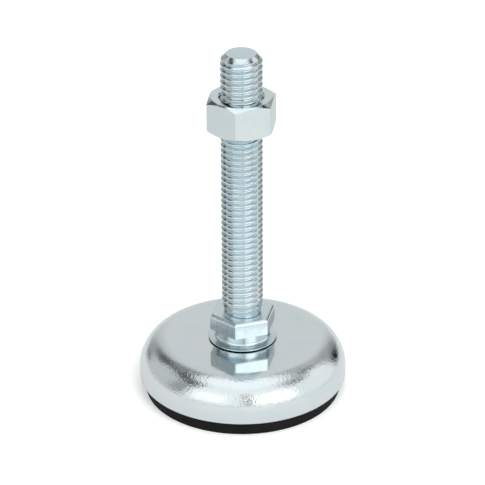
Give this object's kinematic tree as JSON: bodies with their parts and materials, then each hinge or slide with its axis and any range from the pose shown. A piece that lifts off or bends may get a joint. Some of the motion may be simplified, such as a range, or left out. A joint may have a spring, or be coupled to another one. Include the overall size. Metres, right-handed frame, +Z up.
{
  "type": "furniture leveling foot",
  "caption": "Swivel leveling foot: threaded steel spindle with integral hexagon and lock nut, in a round pressed-steel cap with a black rubber pad.",
  "frame": {"origin": "middle of the rubber pad's underside, where the foot meets the floor", "axes": "+Z up along the spindle, towards the furniture; +X and +Y are level, and the foot is the same all round them"},
  "size_m": [0.06, 0.06, 0.1052],
  "materials": {
    "zinc_plate": "bright zinc plate with a faint blue cast, lightly rolled and handled",
    "zinc_cap": "bright zinc plate on pressed sheet, polished shoulder with faint drawing marks",
    "black_rubber": "matte moulded black rubber",
    "plain_steel": "oiled plain steel",
    "white_acetal": "natural moulded acetal"
  },
  "bodies": {
    "base": {"pressed_cap": "zinc_cap", "rubber_pad": "black_rubber", "upper_seat": "white_acetal", "socket_plate": "plain_steel"},
    "swivel": {"swivel_ball": "plain_steel"},
    "spindle": {"threaded_stud": "zinc_plate", "retaining_washer": "plain_steel"},
    "nut": {"lock_nut": "zinc_plate"}
  },
  "joints": [
    {"name": "spindle_tilt", "type": "hinge", "parent": "base", "child": "swivel", "pos_m": [0, 0, 0.0098], "axis": [1, 0, 0], "range_deg": [-1.5, 1.5]},
    {"name": "spindle_spin", "type": "hinge", "parent": "swivel", "child": "spindle", "pos_m": [0, 0, 0.0098], "axis": [0, 0, 1], "range_deg": [-2520, 10800]},
    {"name": "nut_travel", "type": "slide", "parent": "swivel", "child": "nut", "axis": [0, 0, 1], "range_m": [-0.0525, 0.01225]}
  ],
  "couplings": [
    {"joint": "spindle_spin", "follows": "nut_travel", "rad_per_m": -3590.4}
  ]
}
